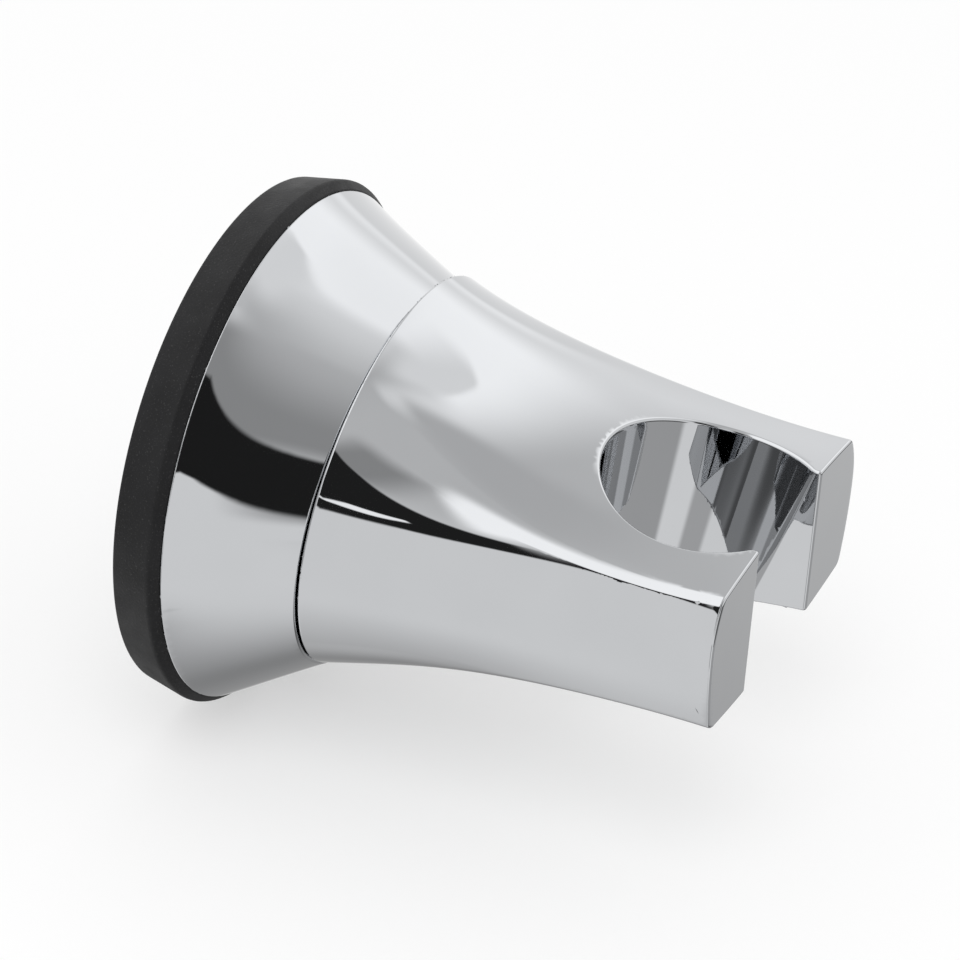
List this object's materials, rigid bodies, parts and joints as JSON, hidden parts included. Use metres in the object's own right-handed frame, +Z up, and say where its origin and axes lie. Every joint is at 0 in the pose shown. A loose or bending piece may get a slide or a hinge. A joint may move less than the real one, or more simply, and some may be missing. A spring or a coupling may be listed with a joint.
{
  "type": "hand shower holder",
  "caption": "Wall bracket for a hand shower: black wall ring, flared chrome cover and a swivelling forked arm with a conical socket open to the front.",
  "frame": {"origin": "middle of the wall face, on the axis of the round wall ring", "axes": "+Y into the wall, so the arm reaches along -Y; +Z up; +X to the right of someone facing the wall"},
  "size_m": [0.062, 0.0672, 0.062],
  "materials": {
    "chrome": "bright mirror plating",
    "black_rubber": "matt, finely grained",
    "seal_rubber": "smooth",
    "grey_plastic": "moulded, matt",
    "white_plastic": "moulded, slippery",
    "steel": "turned stainless steel",
    "brass": "turned"
  },
  "bodies": {
    "base": {"wall_ring": "black_rubber", "wall_plate": "grey_plastic", "base_cover": "chrome", "cover_grub_screw": "steel", "grub_screw_nut": "steel", "pivot_bush": "white_plastic", "friction_ring": "white_plastic", "swivel_seal": "seal_rubber"},
    "arm": {"holder_arm": "chrome", "arm_insert": "brass", "pivot_bolt": "steel", "stop_pin": "steel", "disc_springs": "steel", "bolt_washer": "steel"}
  },
  "joints": [
    {"name": "arm_swivel", "type": "hinge", "parent": "base", "child": "arm", "pos_m": [0, -0.0192, 0.0005], "axis": [0, -0.9969, -0.0785], "range_deg": [-45, 45]}
  ]
}
